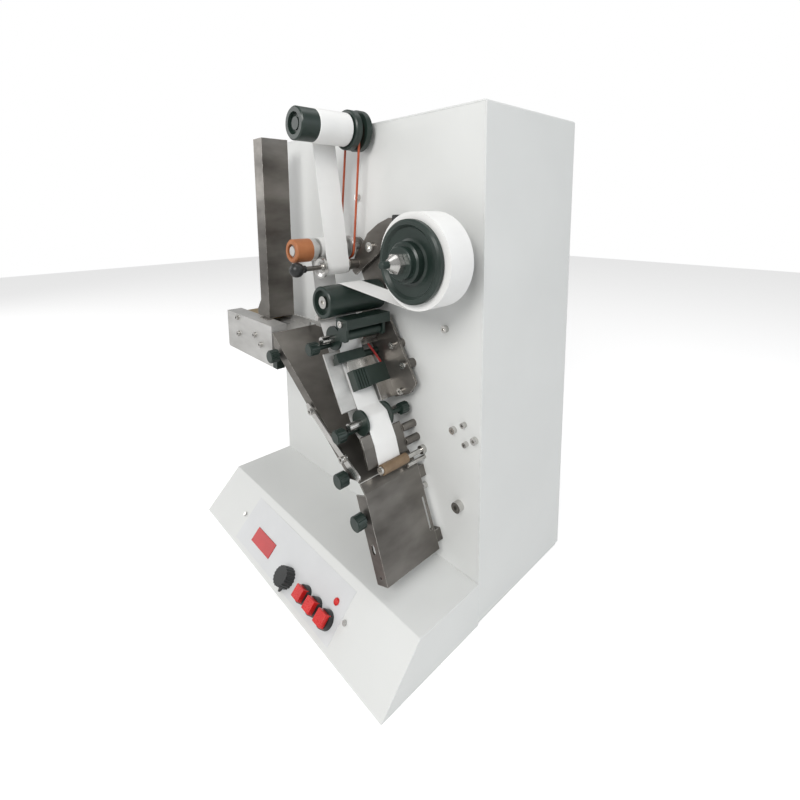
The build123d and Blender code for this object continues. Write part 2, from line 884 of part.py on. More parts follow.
with BuildPart() as arm_cap:
    cap_left, cap_top = step(pivot_at, (arm_reach + rest, arm_rise + 3.8))
    block(cap_left, cap_left + 7.7, cap_top - 13.0, cap_top, arm_back - 2, arm_front + 3)
    fillet(arm_cap.edges().filter_by(Axis.Y), 2)
save(arm_cap, "arm_cap")

# Long turn roller on a fixed shaft, held by a screw in the recess of its front end
long_back = 10.5
long_front = 97.0
long_recess = 6.0
long_shaft = 4.0
long_boss = 9.0
with BuildPart() as long_roller:
    turned(
        long_at,
        (
            (long_shaft + running, long_back),
            (long_radius - 1, long_back),
            (long_radius, long_back + 1),
            (long_radius, long_front - 1),
            (long_radius - 1, long_front),
            (15.0, long_front),
            (14.0, long_front - long_recess),
            (long_shaft + running, long_front - long_recess),
        ),
    )
save(long_roller, "long_roller")

# Fixed shafts of the idle rollers, the return rods and the two guide bars with collar stubs
with BuildPart() as shafts_and_bars:
    rods([long_at], long_boss, 0, long_back - rest)
    rods([long_at], long_shaft, long_back - rest, long_front - long_recess + rest)
    rods([long_at], 7.5, long_front - long_recess + rest, long_front - 1.5)
    with BuildSketch(face.offset(long_front - 1.5)):
        with Locations(long_at):
            RegularPolygon(m8_hex, 6)
    extrude(amount=-3, mode=Mode.SUBTRACT)
    rods([press_at], 5.4, 0, 6)
    rods([press_at], 3.0, 6, web_front + rest)
    rods([step(press_at, (1.5, -10.0))], 2.6, 0, 30)
    rods([press_at], 4.6, web_front + rest, web_front + 3.5)
    rods([return_low_at], return_low_radius, 0, web_front + 6)
    rods([return_high_at], return_high_radius, 0, web_front + 6)
    rods([upper_at], guide_radius, mount_front, web_front)
    rods([upper_at, lower_at], stub_radius, web_front, web_front + collar_stub)
    rods([lower_at], 4.5, 0, web_back)
    rods([lower_at], guide_radius, web_back, web_front)
save(shafts_and_bars, "shafts_and_bars")

# Label web from the roll to the peel edge, and the bare liner from there to the mandrel
half = rub + web_thickness / 2
peel_circle = (*peel_at, peel_radius + half, -1)
return_circle = (*return_low_at, return_low_radius + half, -1)
label_circles = (
    (*unwind_at, roll_radius + half, -1),
    (*long_at, long_radius + half, 1),
    (*upper_at, guide_radius + half, -1),
    (*hold_at, hold_radius + half, 1),
    (*press_down_at, press_down_radius + half, 1),
    (*lower_at, guide_radius + half, -1),
    (*crease_at, crease_radius + half, -1),
    peel_circle,
    return_circle,
)
liner_circles = (
    peel_circle,
    return_circle,
    (*return_high_at, return_high_radius + half, -1),
    (*drive_at, drive_radius + half, -1),
    (*nip_at, nip_radius + half, 1),
    (*mandrel_at, wound_radius + half, -1),
)
web_joint = 0.1
with BuildPart() as label_web:
    extrude(web_section(label_circles, end=web_joint), amount=web_width)
save(label_web, "label_web")

with BuildPart() as liner_web:
    extrude(web_section(liner_circles, start=web_joint), amount=web_width)
save(liner_web, "liner_web")

# Mounting plate of the label head on its standoffs, and the fixed plate behind the arm
mount_screws = [step(upper_at, move) for move in ((49.0, -10.4), (69.0, -32.0), (64.0, -67.0))]
mount_top = long_at[1] - long_radius - 2.6
standoff_radius = 6.0
shield_back = 5.5
shield_front = 8.5
with BuildPart() as mount_plate:
    plate(
        (
            step(upper_at, (-19.0, 15.0)),
            step(long_at, (-21.0, -20.0)),
            (long_at[0], mount_top),
            (long_at[0] + 26.0, mount_top),
            step(upper_at, (89.0, -51.0)),
            step(upper_at, (77.0, -67.0)),
            step(upper_at, (51.0, -79.0)),
        ),
        mount_back,
        mount_front,
    )
    fillet(mount_plate.edges().filter_by(Axis.Y), 3)
    rods([long_at], long_radius + 2.0, mount_back, mount_front, Mode.SUBTRACT)
    rods(mount_screws, m5_shank + running, mount_back, mount_front, Mode.SUBTRACT)
    rods((step(upper_at, (-5.0, 20.0)), *mount_screws), standoff_radius, 0, mount_back)
    plate(
        (
            step(long_at, (-34.0, 26.0)),
            step(long_at, (-26.0, 11.0)),
            step(long_at, (5.0, 3.5)),
            step(long_at, (51.0, 1.0)),
            step(long_at, (60.0, 14.0)),
            step(long_at, (43.0, 56.0)),
            step(long_at, (9.0, 58.0)),
        ),
        shield_back,
        shield_front,
    )
    rods([long_at], long_boss + running, shield_back, shield_front, Mode.SUBTRACT)
    rods([step(long_at, (40.0, 26.0))], standoff_radius, 0, shield_back)
save(mount_plate, "mount_plate")


def collar(at, back, bore):
    """A flat guide collar that slides on a bar."""
    with BuildSketch(face.offset(back)) as section:
        with Locations(at):
            Circle(collar_radius)
            Circle(bore, mode=Mode.SUBTRACT)
    extrude(section.sketch, amount=collar_thickness)


front_collar_back = web_front + 0.4
knob_radius = 8.3
knob_back = 94.0
knob_front = 105.0
clamp_step = (-6.5, -9.5)


def fluted_knob(places, radius, back, front):
    """A turned knob with flutes down its sides, on (x, z) places."""
    rods(places, radius, back, front)
    with BuildSketch(face.offset(back)) as flutes:
        with Locations(*places):
            with PolarLocations(radius + flute_radius / 2, knob_flutes):
                Circle(flute_radius)
    extrude(flutes.sketch, amount=front - back, mode=Mode.SUBTRACT)


for label, at in (("upper_collar", upper_at), ("lower_collar_front", lower_at)):
    stud_at = step(at, clamp_step)
    with BuildPart() as front_collar:
        collar(at, front_collar_back, stub_radius + running)
        rods([stud_at], 3.6, front_collar_back + collar_thickness, knob_back)
        rods([stud_at], knob_radius - 1.5, knob_back - 1.5, knob_front + 1.0)
        fluted_knob([stud_at], knob_radius, knob_back, knob_front)
    save(front_collar, label)

rear_collar_back = web_back - 0.4 - collar_thickness
rear_stud_at = step(lower_at, (12.0, 5.0))
with BuildPart() as lower_collar_rear:
    collar(lower_at, rear_collar_back, 4.5 + running)
    rods([rear_stud_at], 3.0, 19.0, rear_collar_back)
    fluted_knob([rear_stud_at], 7.4, 8.5, 19.5)
save(lower_collar_rear, "lower_collar_rear")

# Backing plate under the flat run of the web, with its hold-down and sensor blocks above
flat_run = (press_down_at[0] - hold_at[0], press_down_at[1] - hold_at[1])
flat_angle = degrees(atan2(flat_run[1], flat_run[0]))
backing_drop = hold_radius + 2 * rub + web_thickness + plate_thickness / 2
backing_top = along(hold_at, flat_angle, -12.0, -backing_drop)
backing_low = along(hold_at, flat_angle, hypot(*flat_run) - 1.0, -backing_drop)
with BuildPart() as backing_plate:
    strip((backing_top, backing_low), plate_thickness, mount_front, plate_front)
save(backing_plate, "backing_plate")


def head_block(outline, back, front, mode=Mode.ADD):
    """A piece of the label head, its outline given as (run, rise) from the hold-down bar."""
    plate([along(hold_at, flat_angle, run, rise) for run, rise in outline], back, front, mode)


def head_box(start, end, low, high, back, front, mode=Mode.ADD):
    """A box of the label head between two runs along the web, two rises and two depths."""
    head_block(((start, low), (end, low), (end, high), (start, high)), back, front, mode)


bridge_end = 4.6
bridge_front = 82.0
sensor_start = 17.0
sensor_end = 41.0
sensor_top = 7.5
sensor_foot = 0.4 - hold_radius
sensor_front = 47.0
with BuildPart() as bridge_block:
    rods([hold_at], hold_radius, mount_front, bridge_front)
    head_block(
        ((-8.0, 1.5), (-8.0, 7.0), (bridge_end, 7.0), (bridge_end, -hold_radius), (0, -hold_radius)),
        40.0,
        bridge_front,
    )
save(bridge_block, "bridge_block")

# Label sensor: a plain body and a ribbed end that reaches over the web
with BuildPart() as sensor_block:
    head_box(sensor_start, sensor_end, sensor_foot, sensor_top, mount_front, sensor_front)
    head_box(sensor_start, sensor_end + 1.0, sensor_foot, sensor_top + 1.0, sensor_front, 68)
    for back in (50, 54, 58, 62):
        head_box(sensor_start, sensor_end + 1.0, sensor_top - 0.6, sensor_top + 1.0, back, back + 1.8, Mode.SUBTRACT)
        head_box(sensor_end - 0.4, sensor_end + 1.0, sensor_foot, sensor_top + 1.0, back, back + 1.8, Mode.SUBTRACT)
save(sensor_block, "sensor_block")

# Bright bent sheets of the head: the tongue between the blocks, the cover above them and
# the guard below them
with BuildPart() as sensor_bracket:
    head_box(bridge_end, sensor_start, 1.0, 2.6, 26, 68)
    head_block(((-19.0, 17.0), (-16.2, 8.4), (-10.0, 8.4), (-10.0, 9.9), (-15.2, 9.9), (-17.6, 17.4)), mount_front, 42)
    head_box(sensor_end, 63.0, 4.0, 5.5, mount_front, 38)
    head_box(61.5, 63.0, -2.0, 4.0, mount_front, 30)
save(sensor_bracket, "sensor_bracket")

# Two sensor leads from the cover down to the rear of the sensor block
lead_radius = 0.65
lead_pitch = 1.9
with BuildPart() as sensor_wires:
    for side in (-1, 1):
        shift = side * lead_pitch / 2
        stops = ((-11.5, 8.0, 30.0), (-11.0, 5.6, 29.6), (2.0, 5.8, 24.5), (sensor_start - rest, 4.6, 19.0))
        route = []
        for run, rise, depth in stops:
            x, z = along(hold_at, flat_angle, run, rise)
            route.append((x, -depth - shift, z))
        with BuildLine() as lead_line:
            FilletPolyline(*route, radius=1.0)
        with BuildSketch(lead_line.line ^ 0):
            Circle(lead_radius)
        sweep()
save(sensor_wires, "sensor_wires")

# Peel plate: it carries the web from the lower bar to the sharp edge
lip = plate_thickness / 2
lead_in = tangent((*lower_at, guide_radius - lip, -1), (*crease_at, crease_radius - lip, -1))
lead_out = tangent((*crease_at, crease_radius - lip, -1), (*peel_at, peel_radius - lip, -1))
lead_length = hypot(lead_in[1][0] - lead_in[0][0], lead_in[1][1] - lead_in[0][1])
root_reach = sqrt((collar_radius + 0.8 + lip) ** 2 - (guide_radius - lip) ** 2)
peel_root = between(lead_in[0], lead_in[1], root_reach / lead_length)
with BuildPart() as peel_plate:
    strip((peel_root, lead_in[1], lead_out[0], lead_out[1]), plate_thickness, 22, 85)
    rods((between(lead_in[1], peel_root, 0.4), between(lead_out[0], lead_out[1], 0.55)), 5.0, 0, 22)
save(peel_plate, "peel_plate")

# Press roller that lays the label on, tan rubber on a steel shaft
with BuildPart() as press_roller:
    turned(
        press_at,
        (
            (3.0 + running, 31),
            (press_radius, 31),
            (press_radius, web_front),
            (3.0 + running, web_front),
        ),
    )
save(press_roller, "press_roller")

# Roller block with two cheeks and the small roller between them
cheek_back = 22.0
cheek_front = 83.0
cheek = 4.0
pin = 2.0
with BuildPart() as roller_block:
    arch_left, arch_low = step(small_at, (-12.0, 9.0))
    cheek_left, cheek_low = step(small_at, (-8.0, -7.0))
    block(arch_left, arch_left + 22.0, arch_low, arch_low + 12.0, mount_front, cheek_front)
    for back in (cheek_back, cheek_front - cheek):
        block(cheek_left, cheek_left + 16.0, cheek_low, arch_low, back, back + cheek)
    fillet(roller_block.edges().filter_by(Axis.Y).group_by(Axis.Z)[0], 4)
    rods([long_at], long_radius + 1.2, mount_front, cheek_front, Mode.SUBTRACT)
    rods([small_at], pin + running, cheek_back, cheek_front, Mode.SUBTRACT)
save(roller_block, "roller_block")

with BuildPart() as small_roller:
    rods([small_at], small_radius, cheek_back + cheek + 2, cheek_front - cheek - 1)
    rods([small_at], pin, cheek_back, cheek_front)
save(small_roller, "small_roller")

# Feeder housing: product groove on top, drive cavity inside and a slot between the two
groove_floor = chute_top[1] + groove_rise
feeder_top = groove_floor + groove_deep
feeder_bottom = feeder_top - feeder_height
feeder_right = chute_top[0] - lip_gap
feeder_left = feeder_right - feeder_length
cavity_roof = groove_floor - 5.0
cavity_left = feeder_left + 8.0
cavity_right = feeder_right - 12.0
slide_back = 48.0
slide_front = 58.0
with BuildPart() as feeder_housing:
    block(feeder_left, feeder_right, feeder_bottom, feeder_top, feeder_back, lane_front)
    fillet(feeder_housing.edges().filter_by(Axis.Y).group_by(Axis.Z)[0], 4)
    block(feeder_left, feeder_right, groove_floor, feeder_top, groove_back, groove_front, Mode.SUBTRACT)
    block(cavity_left, cavity_right, feeder_bottom + 6, cavity_roof, 37, 90, Mode.SUBTRACT)
    block(cavity_left + 6, cavity_right - 18, cavity_roof, groove_floor, slide_back, slide_front, Mode.SUBTRACT)
    rods([(x, feeder_top - 26) for x in (feeder_left + 30, feeder_right - 30)], 8.0, 0, feeder_back)
    block(feeder_right - 6, feeder_right + 22, feeder_top - 4, feeder_top, feeder_back, groove_back)
    block(feeder_right + 18, feeder_right + 46, feeder_top - 6, feeder_top + 8, 26, groove_back)
save(feeder_housing, "feeder_housing")

# Actuator in the housing and the brass pusher that it carries along the groove
actuator_top = feeder_bottom + 30.0
carriage_top = actuator_top + 3.0
mag_left = feeder_right - magazine_step - magazine_width / 2
mag_right = mag_left + magazine_width
with BuildPart() as feeder_actuator:
    block(cavity_left + 4, cavity_right - 8, feeder_bottom + 10, actuator_top, 42, 84)
    block(cavity_left + 4, cavity_right - 8, actuator_top, carriage_top, 50, 56)
save(feeder_actuator, "feeder_actuator")

pusher_right = mag_left - 5.0
pusher_length = 66.0
with BuildPart() as pusher:
    block(
        pusher_right - pusher_length,
        pusher_right,
        groove_floor + rest,
        feeder_top - 3.5,
        groove_back + rest,
        groove_front - rest,
    )
    block(
        pusher_right - pusher_length + 17,
        pusher_right - pusher_length + 37,
        carriage_top + rest,
        groove_floor + rest,
        slide_back + 1,
        slide_front - 1,
    )
save(pusher, "pusher")

# Magazine: a raw steel chimney that stands on the housing over the groove, with a sight
# slot in its far side and a flared foot
magazine_top = height - magazine_drop
magazine_front = magazine_back + magazine_depth
foot_top = feeder_top + flare_high
with BuildPart() as magazine:
    block(mag_left, mag_right, feeder_top, magazine_top, magazine_back, magazine_front)
    with BuildSketch(face.offset(magazine_back)) as foot:
        Polygon(
            (mag_left, feeder_top),
            (mag_left, foot_top),
            (mag_left - flare, feeder_top + flare_low),
            (mag_left - flare, feeder_top),
            align=None,
        )
    extrude(foot.sketch, amount=magazine_depth)
    block(
        mag_left + magazine_wall,
        mag_right - magazine_wall,
        feeder_top,
        magazine_top,
        magazine_back + magazine_wall,
        magazine_front - magazine_wall,
        Mode.SUBTRACT,
    )
    plate(
        (
            (mag_left + magazine_wall, feeder_top),
            (mag_left + magazine_wall, foot_top - 2 * magazine_wall),
            (mag_left - flare + magazine_wall, feeder_top + flare_low - magazine_wall / 2),
            (mag_left - flare + magazine_wall, feeder_top),
        ),
        magazine_back + magazine_wall,
        magazine_front - magazine_wall,
        Mode.SUBTRACT,
    )
    block(
        mag_left,
        mag_left + magazine_wall,
        foot_top + 28,
        magazine_top - 24,
        magazine_back + 15,
        magazine_back + 27,
        Mode.SUBTRACT,
    )
    block(
        mag_right - 14,
        mag_right + 8,
        feeder_top,
        feeder_top + magazine_wall,
        magazine_front,
        magazine_front + 9,
    )
save(magazine, "magazine")

# Upper chute: one bent sheet with a folded front edge, on two brackets
chute_angle = degrees(atan2(chute_bend[1] - chute_top[1], chute_bend[0] - chute_top[0]))
chute_length = hypot(chute_bend[0] - chute_top[0], chute_bend[1] - chute_top[1])
fence = 13.0
bracket = 14.0


def chute_bracket(start, angle, run):
    """A lug under a chute that reaches back to the mechanism face."""
    plate(
        (
            along(start, angle, run, -chute_sheet),
            along(start, angle, run + bracket, -chute_sheet),
            along(start, angle, run + bracket, -chute_sheet - 12),
            along(start, angle, run, -chute_sheet - 12),
        ),
        0,
        24,
    )


with BuildPart() as upper_chute:
    plate(
        (
            chute_top,
            along(chute_top, chute_angle, chute_length, 0),
            along(chute_top, chute_angle, chute_length, -chute_sheet),
            along(chute_top, chute_angle, 0, -chute_sheet),
        ),
        lane_back,
        lane_front,
    )
    plate(
        (
            along(chute_top, chute_angle, 4, -chute_sheet),
            along(chute_top, chute_angle, chute_length - 4, -chute_sheet),
            along(chute_top, chute_angle, chute_length - 14, -chute_flange - chute_sheet),
            along(chute_top, chute_angle, 14, -chute_flange - chute_sheet),
        ),
        lane_front - chute_sheet,
        lane_front,
    )
    plate(
        (
            along(chute_top, chute_angle, 3, 0),
            along(chute_top, chute_angle, 60, 0),
            along(chute_top, chute_angle, 52, fence),
            along(chute_top, chute_angle, 6, fence),
        ),
        lane_back,
        lane_back + chute_sheet,
    )
    for run in (30, chute_length - 79):
        chute_bracket(chute_top, chute_angle, run)
save(upper_chute, "upper_chute")

# Discharge chute below the peel edge
discharge_run = (discharge_bottom[0] - discharge_top[0], discharge_bottom[1] - discharge_top[1])
discharge_angle = degrees(atan2(discharge_run[1], discharge_run[0]))
discharge_length = hypot(*discharge_run)
link_top = along(chute_bend, chute_angle, 1.0, 0)
with BuildPart() as lower_chute:
    plate(
        (
            discharge_top,
            discharge_bottom,
            along(discharge_bottom, discharge_angle, 0, -chute_sheet),
            along(discharge_top, discharge_angle, 0, -chute_sheet),
        ),
        lane_back,
        lane_front,
    )
    plate(
        (
            along(discharge_top, discharge_angle, 0, 0),
            along(discharge_top, discharge_angle, 0, -chute_sheet),
            along(link_top, chute_angle, 0, -chute_sheet),
            link_top,
        ),
        lane_back,
        lane_front,
    )
    plate(
        (
            along(discharge_top, discharge_angle, 2, -chute_sheet),
            along(discharge_top, discharge_angle, discharge_length, -chute_sheet),
            along(discharge_top, discharge_angle, discharge_length, -chute_sheet - discharge_flange),
            along(discharge_top, discharge_angle, 2, -chute_sheet - discharge_flange),
        ),
        lane_front - chute_sheet,
        lane_front,
    )
    for run in (2, 80):
        chute_bracket(discharge_top, discharge_angle, run)
    rods([along(discharge_top, discharge_angle, 92, -9)], 1.6, lane_front - chute_sheet, lane_front, Mode.SUBTRACT)
    with BuildSketch(face.offset(lane_front)) as oval:
        with Locations(along(discharge_top, discharge_angle, 62, -10.5)):
            SlotCenterToCenter(5.0, 6.0, rotation=discharge_angle)
    extrude(oval.sketch, amount=-chute_sheet, mode=Mode.SUBTRACT)
    plate(
        (
            along(discharge_top, discharge_angle, 36, 0),
            along(discharge_top, discharge_angle, 76, 0),
            along(discharge_top, discharge_angle, 76, -chute_sheet),
            along(discharge_top, discharge_angle, 36, -chute_sheet),
        ),
        lane_back + 3,
        lane_back + 7,
        Mode.SUBTRACT,
    )
save(lower_chute, "lower_chute")

# Polished guide rail in front of the chute, on two screws
rail_screws = (step(chute_bend, (-90.6, 58.0)), step(chute_bend, (-25.6, 20.5)))
rail_back = lane_front + 2.0
rail_front = rail_back + 2.0
with BuildPart() as guide_rail:
    strip([step(chute_bend, move) for move in ((-99.0, 61.0), (-39.6, 28.0), (0, 8.5))], 9.0, rail_back, rail_front)
    rods(rail_screws, 4.0, lane_front, rail_back)
save(guide_rail, "guide_rail")

# Clamp knobs of the chutes and the black corner block of the feeder
clamps = (step(chute_bend, (-22.1, -2.0)), step(discharge_top, (-0.6, -29.4)), step(chute_top, (19.0, -27.0)))
clamp_back = lane_front + 4.0
clamp_front = clamp_back + 11.0
with BuildPart() as clamp_knobs:
    rods(clamps, 3.0, lane_front, clamp_back)
    rods(clamps, knob_radius - 0.5, clamp_back, clamp_front + 1.0)
    fluted_knob(clamps, knob_radius + 0.7, clamp_back, clamp_front)
    block(
        feeder_right,
        feeder_right + 12.0,
        feeder_bottom,
        feeder_bottom + 18.0,
        lane_front - 12.0,
        lane_front,
    )
save(clamp_knobs, "clamp_knobs")

# Cap screws of the panel face and of the mounting plate
side = width / 2
face_screws = (
    step(unwind_at, (-16.3, -85.9)),
    (side - 39.3, 231.6),
    (side - 8.1, 230.2),
    step(discharge_top, (2.3, -29.2)),
    step(drive_at, (1.5, 66.8)),
)
feeder_screws = [
    (feeder_left + right, feeder_top - down) for right, down in ((41.0, 5.3), (43.2, 31.1), (100.2, 22.0), (118.3, 33.4))
]
with BuildPart() as face_bolts:
    bolts(face_screws, 0, m5_head, m5_head_height, m5_hex, m5_shank, 0)
    bolts([(side - 29.7, 139.8)], 0, m8_head, m8_head_height, m8_hex, m8_head, 0)
    bolts([(side - 23.6, 243.5), (side - 20.6, 221.0)], 0, 3.2, 5.5, 1.6, 1.6, 0)
    bolts(mount_screws, mount_front, m5_head, m5_head_height, m5_hex, m5_shank, mount_thickness)
    bolts(rail_screws, rail_front, m5_head, 4.0, m5_hex, m5_shank, 0)
    bolts(feeder_screws, lane_front, m5_head, 4.0, m5_hex, m5_shank, 0)
    bolts([(arch_left + 11.0, arch_low + 6.0)], cheek_front, m5_head, 3.0, m5_hex, m5_shank, 0)
    with BuildSketch(slope.offset(film)):
        with Locations(*[(x, -panel_screw_s) for x in panel_screw_xs]):
            Circle(panel_screw_head)
    extrude(amount=2.0, taper=20)
    with BuildSketch(slope.offset(film)):
        with Locations(*[(x, -panel_screw_s) for x in panel_screw_xs]):
            Circle(panel_screw_hole - running)
    extrude(amount=-film - sheet - 3.0)
save(face_bolts, "face_bolts")

# Power supply and controller board on the floor of the cabinet
with BuildPart() as electronics:
    with BuildSketch(Plane.XY.offset(sheet)):
        with Locations((-150, 90)):
            Rectangle(60, 110)
        with Locations((60, 90)):
            with GridLocations(110, 70, 2, 2):
                Circle(3)
    extrude(amount=12)
    with BuildSketch(Plane.XY.offset(sheet)):
        with Locations((-150, 90)):
            Rectangle(60, 110)
    extrude(amount=40)
    with BuildSketch(Plane.XY.offset(sheet + 12)):
        with Locations((60, 90)):
            Rectangle(130, 90)
    extrude(amount=1.6)
    with BuildSketch(Plane.XY.offset(sheet + 13.6)):
        with Locations((30, 80)):
            Rectangle(24, 24)
        with Locations((90, 80), (60, 115)):
            Rectangle(16, 30)
    extrude(amount=9)
save(electronics, "electronics")
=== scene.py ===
from math import atan2, cos, hypot, pi, radians, sin

import bpy
from mathutils import Matrix, Vector

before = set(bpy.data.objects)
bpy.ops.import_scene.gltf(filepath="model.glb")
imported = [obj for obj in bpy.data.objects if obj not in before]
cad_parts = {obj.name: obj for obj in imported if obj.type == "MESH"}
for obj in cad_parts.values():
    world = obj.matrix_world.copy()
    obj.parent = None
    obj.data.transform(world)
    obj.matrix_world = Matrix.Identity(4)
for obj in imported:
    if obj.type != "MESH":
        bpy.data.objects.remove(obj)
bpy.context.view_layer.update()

# Painted casing. Folded steel sheet with a warm white powder coat, which leaves a fine orange
# peel;
# every fold carries a slightly paler painted highlight.


def make_group(name, inputs, outputs):
    """An empty shader node group with named float or colour sockets."""
    group = bpy.data.node_groups.new(name, "ShaderNodeTree")
    for label, kind, value in inputs:
        socket = group.interface.new_socket(label, in_out="INPUT", socket_type=kind)
        socket.default_value = value
    for label, kind in outputs:
        group.interface.new_socket(label, in_out="OUTPUT", socket_type=kind)
    start = group.nodes.new("NodeGroupInput")
    end = group.nodes.new("NodeGroupOutput")
    return group, start, end


def edge_highlight_group():
    """Mask for a painted highlight that is 1 along sharp edges, broken up by noise, and 0 on
    flats.
    """
    group, start, end = make_group(
        "edge_highlight",
        (
            ("Radius", "NodeSocketFloat", 0.001),
            ("Break Up", "NodeSocketFloat", 120.0),
        ),
        (("Mask", "NodeSocketFloat"),),
    )
    nodes, links = group.nodes, group.links
    bevel = nodes.new("ShaderNodeBevel")
    bevel.samples = 6
    flat = nodes.new("ShaderNodeNewGeometry")
    dot = nodes.new("ShaderNodeVectorMath")
    dot.operation = "DOT_PRODUCT"
    ramp = nodes.new("ShaderNodeMapRange")
    ramp.inputs["From Min"].default_value = 0.99
    ramp.inputs["From Max"].default_value = 0.80
    coords = nodes.new("ShaderNodeTexCoord")
    noise = nodes.new("ShaderNodeTexNoise")
    noise.inputs["Detail"].default_value = 3.0
    spread = nodes.new("ShaderNodeMapRange")
    spread.inputs["From Min"].default_value = 0.35
    spread.inputs["From Max"].default_value = 0.65
    multiply = nodes.new("ShaderNodeMath")
    multiply.operation = "MULTIPLY"
    links.new(start.outputs["Radius"], bevel.inputs["Radius"])
    links.new(bevel.outputs["Normal"], dot.inputs[0])
    links.new(flat.outputs["Normal"], dot.inputs[1])
    links.new(dot.outputs["Value"], ramp.inputs["Value"])
    links.new(coords.outputs["Object"], noise.inputs["Vector"])
    links.new(start.outputs["Break Up"], noise.inputs["Scale"])
    links.new(noise.outputs["Fac"], spread.inputs["Value"])
    links.new(ramp.outputs["Result"], multiply.inputs[0])
    links.new(spread.outputs["Result"], multiply.inputs[1])
    links.new(multiply.outputs["Value"], end.inputs["Mask"])
    return group


def mottle_group():
    """Two scales of soft noise on Object coordinates, as a mask about 0.5."""
    group, start, end = make_group(
        "mottle",
        (
            ("Coarse", "NodeSocketFloat", 12.0),
            ("Fine", "NodeSocketFloat", 300.0),
            ("Stretch", "NodeSocketVector", (1.0, 1.0, 1.0)),
        ),
        (("Cloud", "NodeSocketFloat"), ("Grain", "NodeSocketFloat")),
    )
    nodes, links = group.nodes, group.links
    coords = nodes.new("ShaderNodeTexCoord")
    stretch = nodes.new("ShaderNodeVectorMath")
    stretch.operation = "MULTIPLY"
    links.new(coords.outputs["Object"], stretch.inputs[0])
    links.new(start.outputs["Stretch"], stretch.inputs[1])
    for label, output in (("Coarse", "Cloud"), ("Fine", "Grain")):
        noise = nodes.new("ShaderNodeTexNoise")
        noise.inputs["Detail"].default_value = 4.0
        links.new(stretch.outputs["Vector"], noise.inputs["Vector"])
        links.new(start.outputs[label], noise.inputs["Scale"])
        links.new(noise.outputs["Fac"], end.inputs[output])
    return group


edge_highlight = edge_highlight_group()
mottle = mottle_group()


def surface(name, dark, light, rough=0.4, metallic=0.0, coarse=10.0, fine=400.0,
            stretch=(1.0, 1.0, 1.0), bump=0.05, bump_depth=0.0002, edge=None,
            edge_radius=0.0012, edge_amount=0.6, rough_spread=0.1, **sockets):
    """A Principled material between two colours, with cloud, grain, bump and a painted highlight
    along the edges.
    """
    material = bpy.data.materials.new(name)
    material.use_nodes = True
    nodes, links = material.node_tree.nodes, material.node_tree.links
    shader = nodes["Principled BSDF"]
    shader.inputs["Metallic"].default_value = metallic
    for socket, value in sockets.items():
        shader.inputs[socket.replace("_", " ").title()].default_value = value
    pattern = nodes.new("ShaderNodeGroup")
    pattern.node_tree = mottle
    pattern.inputs["Coarse"].default_value = coarse
    pattern.inputs["Fine"].default_value = fine
    pattern.inputs["Stretch"].default_value = stretch
    spread = nodes.new("ShaderNodeMapRange")
    spread.inputs["From Min"].default_value = 0.3
    spread.inputs["From Max"].default_value = 0.7
    links.new(pattern.outputs["Cloud"], spread.inputs["Value"])
    colour = nodes.new("ShaderNodeMix")
    colour.data_type = "RGBA"
    colour.inputs["A"].default_value = (*dark, 1.0)
    colour.inputs["B"].default_value = (*light, 1.0)
    links.new(spread.outputs["Result"], colour.inputs["Factor"])
    result = colour.outputs["Result"]
    # Optional painted highlight: the pale edge colour is mixed in along sharp edges.
    if edge is not None:
        highlight_mask = nodes.new("ShaderNodeGroup")
        highlight_mask.node_tree = edge_highlight
        highlight_mask.inputs["Radius"].default_value = edge_radius
        amount = nodes.new("ShaderNodeMath")
        amount.operation = "MULTIPLY"
        amount.inputs[1].default_value = edge_amount
        links.new(highlight_mask.outputs["Mask"], amount.inputs[0])
        highlighted = nodes.new("ShaderNodeMix")
        highlighted.data_type = "RGBA"
        highlighted.inputs["B"].default_value = (*edge, 1.0)
        links.new(amount.outputs["Value"], highlighted.inputs["Factor"])
        links.new(result, highlighted.inputs["A"])
        result = highlighted.outputs["Result"]
    links.new(result, shader.inputs["Base Color"])
    gloss = nodes.new("ShaderNodeMapRange")
    gloss.inputs["To Min"].default_value = rough - rough_spread / 2
    gloss.inputs["To Max"].default_value = rough + rough_spread / 2
    links.new(pattern.outputs["Grain"], gloss.inputs["Value"])
    links.new(gloss.outputs["Result"], shader.inputs["Roughness"])
    relief = nodes.new("ShaderNodeBump")
    relief.inputs["Strength"].default_value = bump
    relief.inputs["Distance"].default_value = bump_depth
    links.new(pattern.outputs["Grain"], relief.inputs["Height"])
    links.new(relief.outputs["Normal"], shader.inputs["Normal"])
    return material


def dress(material, *names):
    """Give CAD nodes one material."""
    for name in names:
        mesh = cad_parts[name].data
        mesh.materials.clear()
        mesh.materials.append(material)


# The pale edge colour of the powder coat is a painted highlight along the folds.
powder_coat = surface(
    "powder_coat", (0.66, 0.67, 0.66), (0.70, 0.71, 0.70), rough=0.42, coarse=6.0, fine=900.0,
    bump=0.25, bump_depth=0.0003, edge=(0.82, 0.84, 0.86), edge_radius=0.003, edge_amount=0.35,
)
dress(powder_coat, "base_console", "base_plate", "cabinet_cover", "mechanism_panel", "rear_panel")

